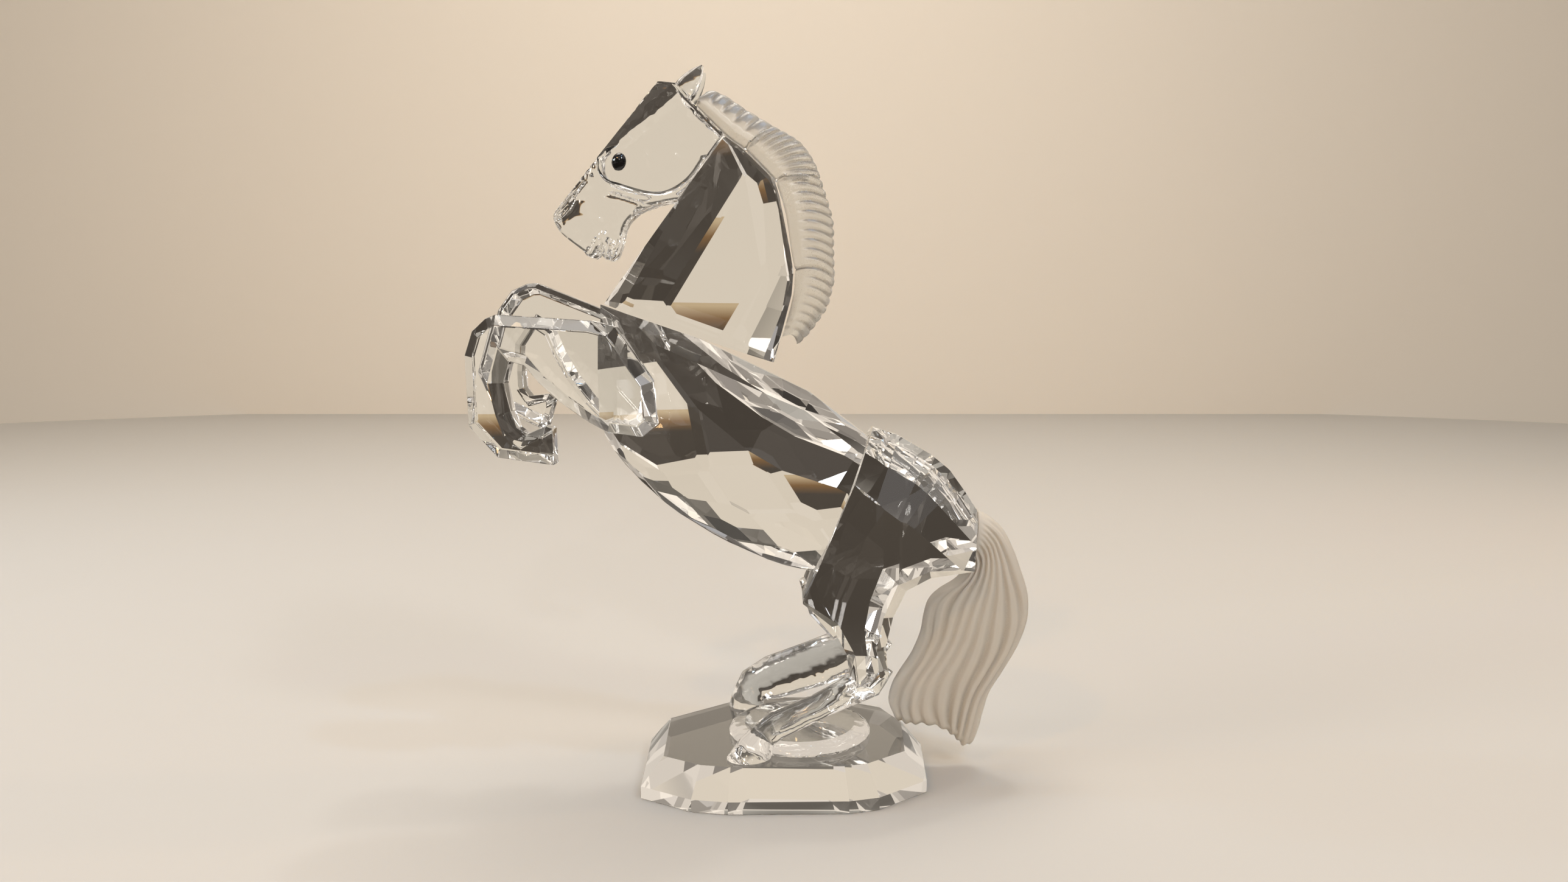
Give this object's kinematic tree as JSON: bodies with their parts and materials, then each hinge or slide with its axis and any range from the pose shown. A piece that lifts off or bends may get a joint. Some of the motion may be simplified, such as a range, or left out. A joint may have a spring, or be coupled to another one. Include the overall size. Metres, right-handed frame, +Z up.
{
  "type": "crystal horse figurine",
  "caption": "Clear faceted crystal horse rearing on its hind legs, with a frosted mane and tail and black eyes, on a low faceted crystal plinth.",
  "frame": {"origin": "centre of the plinth's underside, on the table", "axes": "+Z up, +X towards the horse's tail, +Y towards the horse's right side"},
  "size_m": [0.1061, 0.047, 0.1323],
  "materials": {
    "crystal": "clear, polished facets",
    "frosted_crystal": "frosted, satin",
    "black_eye": "gloss"
  },
  "bodies": {
    "root": {"plinth": "crystal", "hindquarters": "crystal", "barrel": "crystal", "neck": "crystal", "head": "crystal", "left_foreleg": "crystal", "right_foreleg": "crystal", "mane": "frosted_crystal", "tail": "frosted_crystal", "left_eye": "black_eye", "right_eye": "black_eye"}
  },
  "joints": []
}
